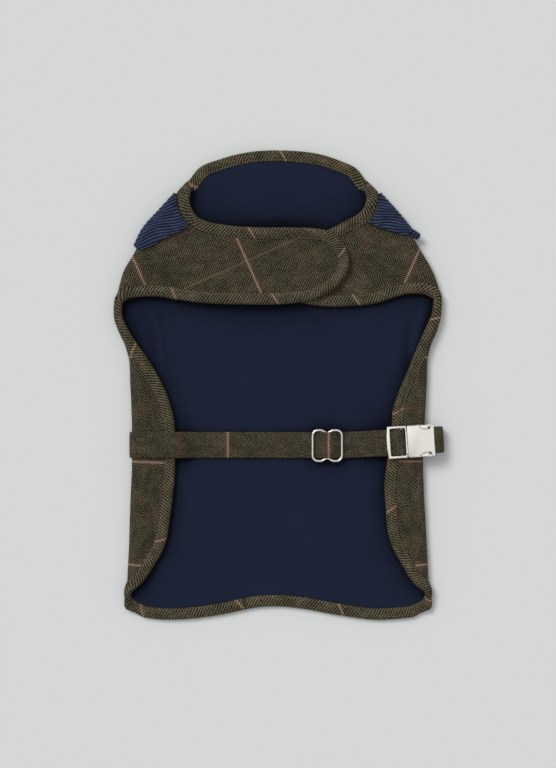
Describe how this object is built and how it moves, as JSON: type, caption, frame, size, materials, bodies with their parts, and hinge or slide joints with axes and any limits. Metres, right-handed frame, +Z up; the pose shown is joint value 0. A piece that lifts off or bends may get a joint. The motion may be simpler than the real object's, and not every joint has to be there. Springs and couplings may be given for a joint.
{
  "type": "dog winter coat",
  "caption": "Lined tweed dog coat laid flat on its back, with bound edges, a corduroy collar, overlapping chest straps and a belly belt with a wire slide and a side-release buckle.",
  "frame": {"origin": "on the surface that the coat lies on, under the middle of its bounding box", "axes": "+Z up from the surface, through the back, the lining and the chest straps; +Y from the hem to the neck along the back; +X to the right of someone who looks down on the lining with the neck away from them"},
  "size_m": [0.3163, 0.4497, 0.0206],
  "materials": {
    "tweed": "olive brown herringbone wool tweed with a tan and rust overcheck",
    "navy_lining": "plain navy brushed lining",
    "tweed_tape": "tweed binding, stitched",
    "corduroy": "navy wide-wale corduroy",
    "fastening": "hook and loop tape",
    "belt_tweed": "tweed-covered webbing",
    "nickel_wire": "bright nickel plate",
    "nickel": "satin nickel plate"
  },
  "bodies": {
    "root": {"shell": "tweed", "lining": "navy_lining", "binding_hem": "tweed_tape", "binding_corner_right": "tweed_tape", "binding_side_right": "tweed_tape", "binding_armhole_right": "tweed_tape", "binding_strap_right": "tweed_tape", "binding_shoulder_right": "tweed_tape", "binding_neck": "tweed_tape", "binding_shoulder_left": "tweed_tape", "binding_strap_left": "tweed_tape", "binding_armhole_left": "tweed_tape", "binding_side_left": "tweed_tape", "binding_corner_left": "tweed_tape", "collar": "corduroy", "fastening_loop": "fastening", "fastening_hook": "fastening", "belt_long": "belt_tweed", "belt_short": "belt_tweed", "slide": "nickel_wire", "buckle_tongue": "nickel", "buckle_socket": "nickel"}
  },
  "joints": []
}
